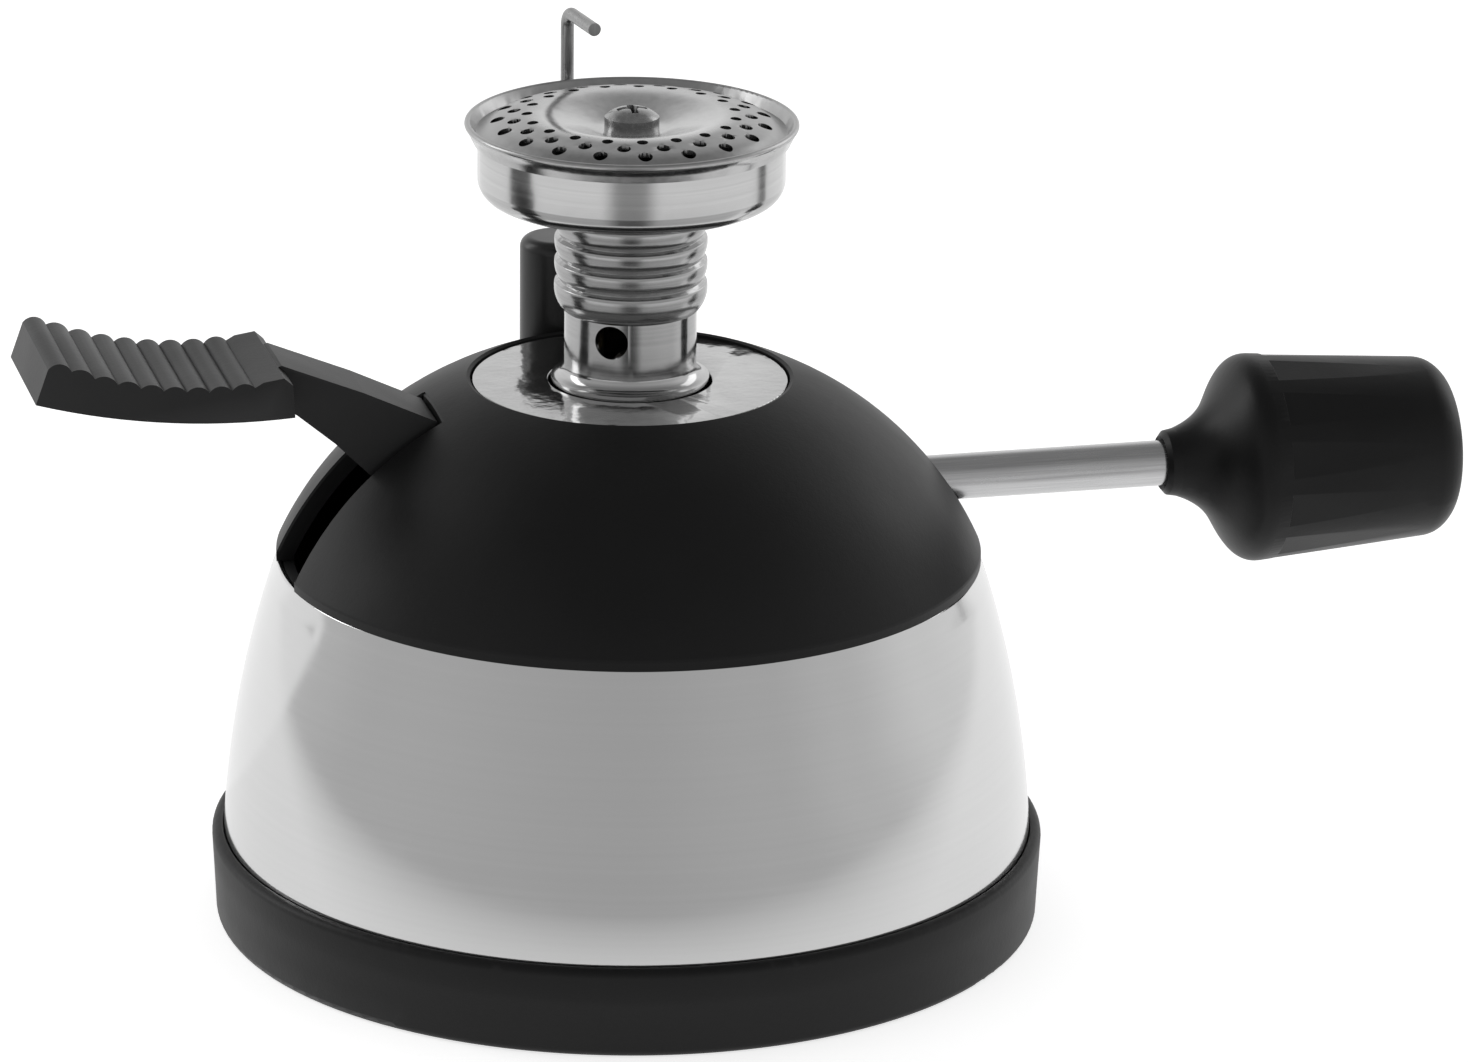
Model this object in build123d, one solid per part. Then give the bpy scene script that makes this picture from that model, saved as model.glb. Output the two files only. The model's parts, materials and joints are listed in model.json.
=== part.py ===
"""Tabletop butane burner with a piezo lever, a valve knob on a rod and a perforated burner head.

Millimetres, +Z up. The origin is the centre of the base on the surface that the burner stands on.
+X points along the valve rod to the knob, and the ignition lever points to -X.
"""
import os
from math import cos, radians, sin, sqrt

from build123d import *

# ---- clearances ---------------------------------------------------------------------------------
run_gap = 0.05          # radial, between a shaft or pin and the hole that it turns or slides in
seat_gap = 0.1          # between pieces that drop into each other
side_gap = 0.35         # beside the lever, between its cheeks

# ---- base ---------------------------------------------------------------------------------------
base_d = 94.4           # widest diameter of the base ring
base_h = 10.4           # height of the ring's lip
base_foot_inset = 0.5   # how much narrower the ring is where it meets the table
base_foot_round = 1.0
screw_r = 1.15          # self-tapping screws under the base
screw_hole_r = 1.3      # clearance hole for one
base_screw_head = (2.4, 0.9)    # radius and height of a head
chassis_screw_head = (2.2, 1.2)
base_lip_round = 0.9
base_lip_t = 1.26       # wall of the ring outside the skirt
ledge_z = 2.4           # underside of the ledge that carries the tank
ledge_t = 1.6
ledge_land = 3.0        # width of the ledge under the tank
foot_land = 8.6         # width of the ring's flat foot
rib_t = 1.8             # rib that stands inside the skirt
rib_h = 4.0
plate_t = 1.2           # pressed steel bottom plate
well_r = 8.5            # filler well

# ---- skirt --------------------------------------------------------------------------------------
skirt_top_r = 39.6
skirt_top_z = 42.1      # the heights of the dome, valve, lever and head follow this one
skirt_t = 0.6
skirt_bulge = 1.17      # outward bow of the skirt's wall at mid height

# ---- dome ---------------------------------------------------------------------------------------
dome_r = 38.4           # radius of the dome's section
dome_arc_r = 4.76       # that arc's centre stands this far off the burner's axis
dome_arc_drop = 15.0    # and this far below the skirt's top edge
dome_wall = 2.0
dome_edge_round = 0.7
rim_r = 18.3            # where the dome stops round the top plate
spigot_t = 1.2
spigot_h = 6.0
top_plate_r = 17.7
top_plate_t = 0.8
top_plate_drop = 0.28   # how far the plate lies below the dome's rim
top_plate_gap = 0.3     # between the plate and the mixing tube's foot
top_ledge_r = 13.0
top_ledge_t = 1.35
slot_side = 0.9         # between the lever's arm and each side of its slot
slot_reach = 8.0        # from the lever's pin to the inner end of the slot
slot_edge_break = 0.25
bevel_steps = 6
post_inset = 4.0        # from the chassis' edge to the circle of screw posts inside the dome
post_r = 2.8
post_count = 4
post_hole = 8.0
post_cut = 18.0         # how far over the chassis the posts may run along the dome

# ---- fuel tank and filler -----------------------------------------------------------------------
tank_r = 30.0
tank_h = 15.5
tank_wall = 1.6
tank_lid_t = 1.5
seal_wire = 0.8
boss_ring_r = 22.0
boss_r = 3.0
boss_h = 6.0
boss_count = 3
well_depth = 8.0        # from the table up to the roof of the filler well
filler_r = 3.5
filler_h = 9.4
filler_drop = 1.4       # how far the filler's nose hangs below the well's roof
stem_r = 1.3            # tip that the can's nozzle pushes
stem_tip_len = 1.7
stem_tip_break = 0.2
stem_guide_r = 1.1      # thinner shank inside the filler
stem_reach = 1.9        # how far the stem stands out of the filler's nose
nose_wall = 1.2
filler_roof = 1.0
filler_flange = 1.2
collar_r = 2.3
collar_h = 1.0
outlet_r = 3.0
outlet_flange = (4.6, 1.6)      # radius and thickness
outlet_rise = 5.0       # over the chassis
nut_flat_r = 4.4
tank_nut_h = 3.0
wick_r = 1.8
wick_gap = 1.5          # between the wick's foot and the well's roof
lid_rib_h = 3.0
seal_drop = 1.5         # the seal's groove under the lid
filler_spring_wire = 0.5
filler_spring_turns = 5

# ---- chassis and gas valve ----------------------------------------------------------------------
chassis_gap = 0.7       # between the chassis' edge and the dome's spigot
sheet_t = 1.6
cheek_drop = 1.4        # the cheeks' top edge under the igniter's top
cheek_x = (5.0, 4.0)    # how far the cheeks run behind and before the lever's pin
cheek_rise = 3.8        # over the pin
cheek_step = 0.3        # under the valve block's top
valve_screw_r = 1.0
valve_screw_len = 4.2
valve_screw_head = (1.9, 1.1)
valve_screw_rise = 2.5  # over the valve block's underside
rod_rise = 6.5          # the valve rod's height over the skirt's top edge
rod_r = 2.6
block_x0 = -9.0
block_x1 = 13.0
block_rise = 6.7        # top of the valve block over the rod
block_h = 12.4
tube_spigot_h = 5.0     # turned spigot that the mixing tube stands on
chamber_r = 2.0
needle_r = 1.5
needle_len = 9.5
needle_tip = 2.6
seat_r = 0.7
seat_x = -1.5
feed_x = -6.0
feed_r = 1.6
feed_bore = 1.0
feed_seat = 3.0         # how deep the feed tube goes into the valve block
jet_r = 2.2
jet_flat_r = 3.0        # the jet's hexagon
jet_hex_h = 2.4
jet_nose = (1.8, 3.0)   # radius and length
jet_bore = 0.8
jet_orifice = 0.25
nut_af = 10.0
nut_len = 6.0
rod_sink = 5.0          # how deep the rod goes into the valve block
seal_rebate = 1.2       # rebate in the packing nut for its rubber ring
seal_ring_r = 0.28
rod_bore_len = 8.0      # hole in the rod's end that the needle slides in

# ---- knob ---------------------------------------------------------------------------------------
knob_x0 = 62.3
knob_len = 33.8
knob_neck_t = 1.1       # wall of the neck round the rod
knob_neck_len = 1.6
knob_shoulder_x = 9.6   # from the neck's start
knob_r = 11.9
knob_end_r = 10.35
knob_end_round = 3.4
knob_facets = 12
knob_facet_x = 12.2     # where the grip facets start
knob_bore_len = 22.0

# ---- burner head --------------------------------------------------------------------------------
tube_r = 7.4
tube_wall = 0.8
tube_foot_lip = 1.45    # how far the foot flares out from the tube
tube_foot_h = 1.1
tube_flare_h = 1.5
air_hole_r = 1.9
air_hole_rise = 6.25    # over the top plate
air_holes = 3
fin_lip = 1.15          # crest of a fin over the tube
fin_notch = 0.55        # bottom of a notch over the tube
fin_pitch = 2.55
fin_count = 4
fin_foot_rise = 8.35    # over the top plate
fin_first_rise = 3.45   # the lowest notch over the sleeve's foot
fin_edge = 0.3          # height of the blunt shoulder on top of each fin
cup_r = 17.1
cup_rise = 21.05        # the cup's floor over the top plate
cup_h = 7.05
cup_t = 0.6
cup_round = 2.3
cap_rim_out = 1.35      # the rolled rim stands out this far from the cup
cap_rim_rise = 1.7      # heights on the cap are over the cup's top edge
cap_foot_drop = 0.45
cap_t = 0.5
crest_r = 10.9
crest_rise = 2.55
dish_r = 3.2
dish_rise = 0.75
cap_rows = ((14.86, 0.80, 0.0), (13.2, 0.75, 0.5), (11.6, 0.62, 0.0))
holes_per_row = 19
first_hole_deg = -97.4
post_hub_r = 2.6
post_arm_w = 1.6
post_arms = 3
post_collar = 0.6       # wall of the collar round the cap's screw
screw_head_r = 3.05
screw_head_h = 1.5
screw_crown = 1.0
screw_slot = (3.4, 0.76, 0.5)   # length, width and depth of the cross
screw_shank_r = 1.5
gauze_t = 0.4
gauze_drop = 1.65

# ---- electrode ----------------------------------------------------------------------------------
electrode_deg = 98.0
electrode_r = 23.3      # distance of the ceramic post from the burner's axis
electrode_post_r = 4.25
electrode_rise = 10.15  # over the top plate
electrode_sink = 7.25   # under the top plate
electrode_round = 1.3
wire_r = 0.75
wire_leg_r = 20.3
wire_arm_rise = 9.15    # over the cup's top edge
wire_arm_len = 8.6
wire_bend = 1.6
wire_sink = 6.9         # how deep the wire goes into the post

# ---- lever and igniter --------------------------------------------------------------------------
pivot_x = -14.5
pivot_rise = 12.4       # over the skirt's top edge
hub_r = 3.6
pin_r = 1.5
arm_w = 8.8
pad_w = 18.0
rib_pitch = 2.52
rib_rise = 0.62
rib_count = 8
nose_out = 10.5         # the nose's centre from the pin
nose_low = 2.3
nose_r = 2.0
piezo_out = 10.0        # the igniter's centre from the pin
piezo_lx = 9.0
piezo_wy = 8.0
plunger_show = 4.5      # how much of the plunger stands out of the igniter
plunger_r = 3.0
plunger_gap = 0.3       # free play under the lever's nose
plunger_len = 7.4
piezo_spring_len = 6.6
piezo_spring_wire = 0.6
piezo_spring_turns = 4
lead_r = 1.0
lead_rise = 8.4         # the igniter's side terminal over the chassis

# ---- worked out from the values above -----------------------------------------------------------
tank_z0 = ledge_z + ledge_t
tank_z1 = tank_z0 + tank_h
lid_z1 = tank_z1 + tank_lid_t
chassis_z1 = lid_z1 + sheet_t
skirt_foot_r = base_d / 2 - base_lip_t - seat_gap
skirt_z0 = tank_z0 + seat_gap
dome_arc_z = skirt_top_z - dome_arc_drop
rim_z = dome_arc_z + sqrt(dome_r ** 2 - (rim_r - dome_arc_r) ** 2)
spigot_out = skirt_top_r - skirt_t - seat_gap
spigot_in = spigot_out - spigot_t
chassis_r = spigot_in - chassis_gap
post_ring_r = chassis_r - post_inset
plate_z1 = rim_z - top_plate_drop
plate_z0 = plate_z1 - top_plate_t
rod_z = skirt_top_z + rod_rise
cheek_y = arm_w / 2 + side_gap
block_w = 2 * (cheek_y - seat_gap)
block_z1 = rod_z + block_rise
block_z0 = block_z1 - block_h
tube_bore = tube_r - tube_wall
tube_foot_r = tube_r + tube_foot_lip
spigot_r = tube_bore - seat_gap
fin_foot_z = plate_z1 + fin_foot_rise
cup_z0 = plate_z1 + cup_rise
cup_z1 = cup_z0 + cup_h
gauze_z = cup_z1 - gauze_drop
dish_z = cup_z1 + dish_rise
pivot_z = skirt_top_z + pivot_rise
slot_w = arm_w + 2 * slot_side
slot_inner_x = slot_reach - pivot_x
nose_x = pivot_x - nose_out
nose_z = pivot_z - nose_low
piezo_x = pivot_x - piezo_out
plunger_z1 = nose_z - nose_r - plunger_gap
plunger_z0 = plunger_z1 - plunger_len
piezo_z1 = plunger_z1 - plunger_show
lead_z = chassis_z1 + lead_rise
filler_z0 = well_depth - filler_drop
filler_z1 = filler_z0 + filler_h
stem_z0 = filler_z0 - stem_reach
collar_z1 = filler_z0 + nose_wall + collar_h
electrode_top_z = plate_z1 + electrode_rise
electrode_bottom_z = plate_z1 - electrode_sink
wire_arm_z = cup_z1 + wire_arm_rise
wire_foot_z = electrode_top_z - wire_sink
electrode_x = electrode_r * cos(radians(electrode_deg))
electrode_y = electrode_r * sin(radians(electrode_deg))
low = (Align.CENTER, Align.CENTER, Align.MIN)


# ---- shapes that several pieces share -----------------------------------------------------------
def drum(radius, z0, z1, x=0.0, y=0.0):
    return Pos(x, y, z0) * Cylinder(radius, z1 - z0, align=low)


def pipe(outer, inner, z0, z1, x=0.0, y=0.0):
    return drum(outer, z0, z1, x, y) - drum(inner, z0, z1, x, y)


def bar_x(radius, x0, x1, y=0.0, z=rod_z):
    return Pos(x0, y, z) * Rot(0, 90, 0) * Cylinder(radius, x1 - x0, align=low)


def bar_y(radius, y0, y1, x, z):
    return Pos(x, y0, z) * Rot(-90, 0, 0) * Cylinder(radius, y1 - y0, align=low)


def block(x0, x1, y0, y1, z0, z1):
    middle = Pos((x0 + x1) / 2, (y0 + y1) / 2, z0)
    return middle * Box(x1 - x0, y1 - y0, z1 - z0, align=low)


def polar(radius, degrees):
    return radius * cos(radians(degrees)), radius * sin(radians(degrees))


def turned(*edges):
    """Solid of revolution about the burner's axis, from edges drawn as (radius, height)."""
    return revolve(Plane.XZ * make_face(Curve() + list(edges)), Axis.Z)


def circles_at(solid, radius, height):
    """The solid's round edges of one radius at one height."""
    rounds = solid.edges().filter_by(GeomType.CIRCLE)
    return [e for e in rounds if abs(e.radius - radius) < 0.01 and abs(e.center().Z - height) < 0.01]


def spread(piece, count, radius, first=0.0):
    """Copies of a piece at even steps on a circle, each moved out along the radius."""
    step = 360 / count
    return [Rot(0, 0, first + i * step) * Pos(radius, 0, 0) * piece for i in range(count)]


def dome_height(radius, section=dome_r):
    """Height of the dome's section arc at a radius from the axis."""
    return dome_arc_z + sqrt(section ** 2 - (radius - dome_arc_r) ** 2)


def dome_reach(height, section=dome_r):
    """Radius of the dome's section arc at a height."""
    return dome_arc_r + sqrt(section ** 2 - (height - dome_arc_z) ** 2)


def coil(radius, wire, z0, z1, turns, x=0.0, y=0.0):
    """Open helical spring between two heights."""
    run = z1 - z0 - 2 * wire
    path = Helix(pitch=run / turns, height=run, radius=radius)
    section = Plane(origin=path @ 0, z_dir=path % 0) * Circle(wire / 2)
    return Pos(x, y, z0 + wire) * sweep(section, path=path, is_frenet=True)


def screw_up(shank, head, head_h, z_head, z_end):
    """Pan screw that points up, with its head's top at the lower end."""
    body = drum(shank, z_head, z_end)
    cap = drum(head, z_head - head_h, z_head)
    cap = fillet(cap.edges().sort_by(Axis.Z)[0], head_h * 0.45)
    slot = block(-head * 0.6, head * 0.6, -0.3, 0.3, z_head - head_h, z_head - head_h * 0.45)
    cross = Rot(0, 0, 90) * slot
    return body + cap - slot - cross


# ---- base ---------------------------------------------------------------------------------------
def base_ring():
    foot_r = base_d / 2 - base_foot_inset
    lip_in = skirt_foot_r + seat_gap
    rib_out = skirt_foot_r - skirt_t - seat_gap
    top_r = base_d / 2
    points = [
        (foot_r - foot_land, 0),
        (foot_r, 0),
        (top_r, base_h),
        (lip_in, base_h - 0.1),
        (lip_in, tank_z0),
        (rib_out, tank_z0),
        (rib_out, tank_z0 + rib_h),
        (rib_out - rib_t, tank_z0 + rib_h),
        (rib_out - rib_t, tank_z0),
        (tank_r - ledge_land, tank_z0),
        (tank_r - ledge_land, ledge_z),
        (foot_r - foot_land, ledge_z),
    ]
    ring = turned(Polyline(*points, close=True))
    lip = circles_at(ring, top_r, base_h)
    ring = fillet(lip, base_lip_round)
    return fillet(circles_at(ring, foot_r, 0), base_foot_round)


def bottom_plate():
    rim = base_d / 2 - base_foot_inset - foot_land - seat_gap
    plate = pipe(rim, well_r, ledge_z - plate_t, ledge_z)
    holes = spread(drum(screw_hole_r, 0, ledge_z), boss_count, boss_ring_r, 90)
    return plate - holes


def base_screws():
    one = screw_up(screw_r, *base_screw_head, ledge_z - plate_t, ledge_z + boss_h - 1)
    return Compound(children=spread(one, boss_count, boss_ring_r, 90))


# ---- shells -------------------------------------------------------------------------------------
def skirt_edge(inset):
    """The skirt's wall line, moved in by a wall or a clearance."""
    knee = base_h - 0.4
    foot = (skirt_foot_r - inset, knee)
    top = (skirt_top_r - inset, skirt_top_z)
    middle = ((foot[0] + top[0]) / 2 + skirt_bulge, (foot[1] + top[1]) / 2)
    return foot, middle, top


def skirt_shell():
    out_foot, out_mid, out_top = skirt_edge(0)
    in_foot, in_mid, in_top = skirt_edge(skirt_t)
    return turned(
        Line((skirt_foot_r, skirt_z0), out_foot),
        ThreePointArc(out_foot, out_mid, out_top),
        Line(out_top, in_top),
        ThreePointArc(in_top, in_mid, in_foot),
        Line(in_foot, (skirt_foot_r - skirt_t, skirt_z0)),
        Line((skirt_foot_r - skirt_t, skirt_z0), (skirt_foot_r, skirt_z0)),
    )


def dome_arc(start_r, end_r, section):
    middle = (start_r + end_r) / 2
    points = [(r, dome_height(r, section)) for r in (start_r, middle, end_r)]
    return ThreePointArc(*points)


def dome_shell():
    inner = dome_r - dome_wall
    edge_r = skirt_top_r + 0.05
    ledge_low = plate_z0 - top_ledge_t
    ledge_out = dome_reach(ledge_low, inner)
    recess = top_plate_r + 2 * seat_gap
    shell = turned(
        dome_arc(rim_r, edge_r, dome_r),
        Polyline((edge_r, dome_height(edge_r)), (edge_r, skirt_top_z), (spigot_out, skirt_top_z),
                 (spigot_out, skirt_top_z - spigot_h), (spigot_in, skirt_top_z - spigot_h),
                 (spigot_in, dome_height(spigot_in, inner))),
        dome_arc(spigot_in, ledge_out, inner),
        Polyline((ledge_out, ledge_low), (top_ledge_r, ledge_low), (top_ledge_r, plate_z0),
                 (recess, plate_z0), (recess, rim_z - 0.15), (rim_r, rim_z)),
    )
    shell = fillet(circles_at(shell, edge_r, dome_height(edge_r)), dome_edge_round)
    slot = block(-base_d / 2, -slot_inner_x, -slot_w / 2, slot_w / 2, skirt_top_z, rim_z + 2)
    rod_hole = bar_x(rod_r + 0.4, skirt_top_r - 12, skirt_top_r + 2)
    shell = shell - slot - slot_bevel() - rod_hole
    shell = shell - drum(electrode_post_r + run_gap, electrode_bottom_z, rim_z + 2,
                         electrode_x, electrode_y)
    return shell + dome_posts()


def slot_bevel():
    """Square bars along the slot's outer edges: cutting them away leaves a small chamfer."""
    side = slot_w / 2
    low_x = sqrt(skirt_top_r ** 2 - side ** 2)
    steps = [i / bevel_steps for i in range(bevel_steps + 1)]
    along = [slot_inner_x + t * (low_x - slot_inner_x) for t in steps]
    across = [side * (2 * t - 1) for t in steps]
    lines = [[(-x, y, dome_height(sqrt(x ** 2 + y ** 2))) for x in along] for y in (-side, side)]
    lines.append([(-slot_inner_x, y, dome_height(sqrt(slot_inner_x ** 2 + y ** 2))) for y in across])
    bars = []
    for points in lines:
        path = Spline(*points)
        level = (0, 1, 0) if points[0][1] == points[-1][1] else (1, 0, 0)
        start = Plane(origin=path @ 0, x_dir=level, z_dir=path % 0)
        bars.append(sweep(start * RegularPolygon(slot_edge_break, 4), path=path))
    return bars


def dome_posts():
    """Four screw posts that hang from the dome's inside down to the chassis."""
    inner = dome_r - dome_wall / 2
    hole = drum(screw_r, chassis_z1, chassis_z1 + post_hole)
    post = drum(post_r, chassis_z1, dome_height(post_ring_r - post_r, inner)) - hole
    filler = turned(
        Polyline((0, chassis_z1), (0, dome_arc_z + inner), (dome_arc_r, dome_arc_z + inner)),
        dome_arc(dome_arc_r, dome_reach(chassis_z1 + post_cut, inner), inner),
        Polyline((dome_reach(chassis_z1 + post_cut, inner), chassis_z1 + post_cut),
                 (post_ring_r + 2 * post_r, chassis_z1), (0, chassis_z1)),
    )
    return [p & filler for p in spread(post, post_count, post_ring_r, 45)]


def top_plate():
    plate = pipe(top_plate_r, tube_foot_r + top_plate_gap, plate_z0, plate_z1)
    edge = plate.edges().filter_by(GeomType.CIRCLE).sort_by(Axis.Z)[-2:]
    return fillet(edge, 0.2)


# ---- tank and filler ----------------------------------------------------------------------------
def fuel_tank():
    tank = drum(tank_r, tank_z0, tank_z1) - drum(tank_r - tank_wall, tank_z0 + tank_wall, tank_z1)
    tank = tank + drum(well_r + tank_wall, tank_z0, well_depth + tank_wall)
    bosses = spread(drum(boss_r, ledge_z, ledge_z + boss_h), boss_count, boss_ring_r, 90)
    pilots = spread(drum(screw_r, ledge_z, ledge_z + boss_h - 1), boss_count, boss_ring_r, 90)
    tank = tank + bosses - pilots
    well = drum(well_r, tank_z0, well_depth)
    return tank - well - drum(filler_r + run_gap, well_depth, well_depth + tank_wall)


def seal_ring(section_r):
    return Pos(0, 0, tank_z1 - seal_drop) * Torus(tank_r - tank_wall - seal_wire / 2, section_r)


def tank_lid():
    lid = drum(tank_r, tank_z1, lid_z1)
    lid = lid + pipe(tank_r - tank_wall - seat_gap, tank_r - 3 * tank_wall, tank_z1 - lid_rib_h, tank_z1)
    return lid - seal_ring(seal_wire / 2) - drum(outlet_r, tank_z1, lid_z1, feed_x)


def tank_seal():
    return seal_ring(seal_wire / 2 - 0.01)


def tank_outlet():
    """Threaded brass outlet that clamps the chassis to the tank's lid."""
    flange_r, flange_t = outlet_flange
    top = chassis_z1 + outlet_rise
    body = drum(outlet_r - run_gap, tank_z1, top, feed_x)
    flange = drum(flange_r, tank_z1 - flange_t, tank_z1, feed_x)
    wick_hole = drum(wick_r + run_gap, tank_z1 - flange_t, tank_z1 + 1, feed_x)
    return body + flange - drum(feed_r, tank_z1 + 1, top, feed_x) - wick_hole


def tank_nut():
    hexagon = Pos(feed_x, 0, chassis_z1) * RegularPolygon(nut_flat_r, 6, major_radius=False)
    return extrude(hexagon, tank_nut_h) - drum(outlet_r, chassis_z1, chassis_z1 + tank_nut_h, feed_x)


def fuel_wick():
    return drum(wick_r, well_depth + tank_wall + wick_gap, tank_z1 + 0.9, feed_x)


def fill_valve_body():
    seat_z = well_depth + tank_wall
    body = drum(filler_r, filler_z0, filler_z1)
    body = body + drum(filler_r + filler_flange, seat_z, seat_z + filler_flange)
    body = body - drum(stem_r + run_gap, filler_z0, filler_z0 + nose_wall)
    body = body - drum(stem_guide_r + run_gap, filler_z0, filler_z1)
    return body - drum(collar_r + run_gap, filler_z0 + nose_wall, filler_z1 - filler_roof)


def fill_valve_stem():
    tip_z1 = stem_z0 + stem_tip_len
    tip = drum(stem_r, stem_z0, tip_z1)
    tip = chamfer(circles_at(tip, stem_r, stem_z0), stem_tip_break)
    shank = drum(stem_guide_r, tip_z1, filler_z1 - 2 * stem_tip_break)
    return tip + shank + drum(collar_r, filler_z0 + nose_wall, collar_z1)


def fill_valve_spring():
    radius = (stem_guide_r + collar_r) / 2
    return coil(radius, filler_spring_wire, collar_z1, filler_z1 - filler_roof, filler_spring_turns)


# ---- chassis and valve --------------------------------------------------------------------------
def chassis():
    """Sheet chassis: a round floor and two cheeks that hold the lever's pin, igniter and valve."""
    floor = drum(chassis_r, lid_z1, chassis_z1)
    igniter_x0 = piezo_x - piezo_lx / 2 - 2
    behind = pivot_x - cheek_x[0]
    ahead = pivot_x + cheek_x[1]
    low_z = piezo_z1 - cheek_drop
    high_z = pivot_z + cheek_rise
    step_z = block_z1 - cheek_step
    outline = Polyline(
        (igniter_x0, lid_z1), (igniter_x0, low_z), (behind, low_z), (behind, high_z),
        (ahead, high_z), (ahead, step_z), (block_x1 - 1, step_z), (block_x1 - 1, lid_z1), close=True)
    cheek = extrude(Plane.XZ * make_face(outline), -sheet_t)
    near = Pos(0, -cheek_y - sheet_t, 0) * cheek
    far = Pos(0, cheek_y, 0) * cheek
    frame = floor + near + far
    reach = cheek_y + sheet_t + 1
    frame = frame - bar_y(pin_r, -reach, reach, pivot_x, pivot_z)
    frame = frame - bar_y(1.6 * lead_r, cheek_y - 1, reach, piezo_x, lead_z)
    for x in valve_screw_places():
        frame = frame - bar_y(valve_screw_r + run_gap, -reach, reach, x, block_z0 + valve_screw_rise)
    holes = spread(drum(screw_hole_r, lid_z1, chassis_z1), post_count, post_ring_r, 45)
    return frame - holes - drum(outlet_r, lid_z1, chassis_z1, feed_x)


def chassis_screws():
    one = screw_up(screw_r - run_gap, *chassis_screw_head, lid_z1, chassis_z1 + post_hole - 1)
    return Compound(children=spread(one, post_count, post_ring_r, 45))


def valve_screw_places():
    return block_x0 + 5.5, block_x1 - 4.5


def valve_screws():
    """Four short screws through the cheeks into the valve block."""
    made = []
    face = cheek_y + sheet_t
    z = block_z0 + valve_screw_rise
    head_r, head_h = valve_screw_head
    for x in valve_screw_places():
        for side in (-1, 1):
            shank = bar_y(valve_screw_r, face - valve_screw_len, face, x, z)
            head = bar_y(head_r, face, face + head_h, x, z)
            screw = shank + head
            made.append(screw if side > 0 else mirror(screw, about=Plane.XZ))
    return Compound(children=made)


def valve_body():
    half = block_w / 2
    body = block(block_x0, block_x1, -half, half, block_z0, block_z1)
    body = body + drum(spigot_r, block_z1, block_z1 + tube_spigot_h)
    body = body - bar_x(rod_r + run_gap, block_x1 - rod_sink, block_x1)
    body = body - bar_x(chamber_r, seat_x, block_x1)
    body = body - bar_x(seat_r, feed_x, seat_x)
    body = body - drum(feed_bore, rod_z, block_z1 + tube_spigot_h)
    body = body - drum(jet_r, block_z1 + 1, block_z1 + tube_spigot_h)
    body = body - drum(feed_r, block_z0, block_z0 + feed_seat, feed_x)
    body = body - drum(feed_bore, block_z0, rod_z, feed_x)
    depth = valve_screw_len - sheet_t + seat_gap
    for x in valve_screw_places():
        body = body - bar_y(valve_screw_r, -half, depth - half, x, block_z0 + valve_screw_rise)
        body = body - bar_y(valve_screw_r, half - depth, half, x, block_z0 + valve_screw_rise)
    return body


def feed_tube():
    return pipe(feed_r - 0.02, feed_bore, tank_z1 + 1, block_z0 + feed_seat - 0.02, feed_x)


def packing_nut():
    hexagon = Plane.YZ * RegularPolygon(nut_af / 2, 6, major_radius=False)
    nut = Pos(block_x1, 0, rod_z) * extrude(hexagon, nut_len)
    nut = nut - bar_x(rod_r + run_gap, block_x1, block_x1 + nut_len)
    return nut - bar_x(rod_r + 2.5 * seal_ring_r, block_x1, block_x1 + seal_rebate)


def valve_seal():
    """Rubber ring in the packing nut, round the rod."""
    middle = Pos(block_x1 + seal_rebate / 2, 0, rod_z) * Rot(0, 90, 0)
    ring = middle * Torus(rod_r + 0.12 + seal_ring_r, seal_ring_r)
    return ring - bar_x(rod_r + run_gap, block_x1, block_x1 + seal_rebate)


def valve_needle():
    shank = bar_x(needle_r, seat_x + needle_tip, seat_x + needle_len)
    tip = Pos(seat_x + needle_tip / 2 + 0.2, 0, rod_z) * Rot(0, 90, 0)
    return shank + tip * Cone(seat_r * 0.6, needle_r, needle_tip - 0.4)


def control_rod():
    start = block_x1 - rod_sink
    rod = bar_x(rod_r, start, knob_x0 + knob_bore_len - 1)
    rod = rod - bar_x(needle_r + run_gap, start, start + rod_bore_len)
    ends = [e for e in rod.edges().filter_by(GeomType.CIRCLE) if abs(e.radius - rod_r) < 0.01]
    return chamfer(ends, 0.4)


# ---- knob ---------------------------------------------------------------------------------------
def knob_profile():
    """Half section of the knob: a lipped neck, a bell and a long taper with a rounded end."""
    neck_r = rod_r + knob_neck_t
    neck_end = knob_neck_len
    bell_mid = (neck_end + knob_shoulder_x) / 2
    shoulder = (knob_shoulder_x - 1.2, knob_r - 1.0)
    taper = (knob_len - knob_end_round, knob_end_r)
    return [
        Polyline((knob_bore_len, 0), (knob_bore_len, rod_r + 0.03), (0.5, rod_r + 0.03), (0, rod_r + 0.5)),
        Line((0, rod_r + 0.5), (0.5, neck_r)),
        Line((0.5, neck_r), (neck_end, neck_r + 0.2)),
        Spline((neck_end, neck_r + 0.2), (bell_mid, neck_r + 2.9), shoulder,
               (knob_shoulder_x + 1.2, knob_r), tangents=[(1, 0.35), (1, -0.05)]),
        Line((knob_shoulder_x + 1.2, knob_r), taper),
        Spline(taper, (knob_len - 0.9, knob_end_r - 1.2), (knob_len, knob_end_r - knob_end_round),
               tangents=[(knob_len - knob_shoulder_x, knob_end_r - knob_r), (0, -1)]),
        Polyline((knob_len, knob_end_r - knob_end_round), (knob_len, 0), (knob_bore_len, 0)),
    ]


def control_knob():
    section = make_face(Curve() + knob_profile())
    round_knob = revolve(section, Axis.X)
    start = Plane.YZ.offset(knob_facet_x) * RegularPolygon(knob_r + 0.1, knob_facets)
    end = Plane.YZ.offset(knob_len + 1) * RegularPolygon(knob_end_r + 0.05, knob_facets)
    grip = loft([start.faces()[0], end.faces()[0]])
    neck = bar_x(2 * knob_r, -1, knob_facet_x, z=0)
    return Pos(knob_x0, 0, rod_z) * (round_knob & (grip + neck))


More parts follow.
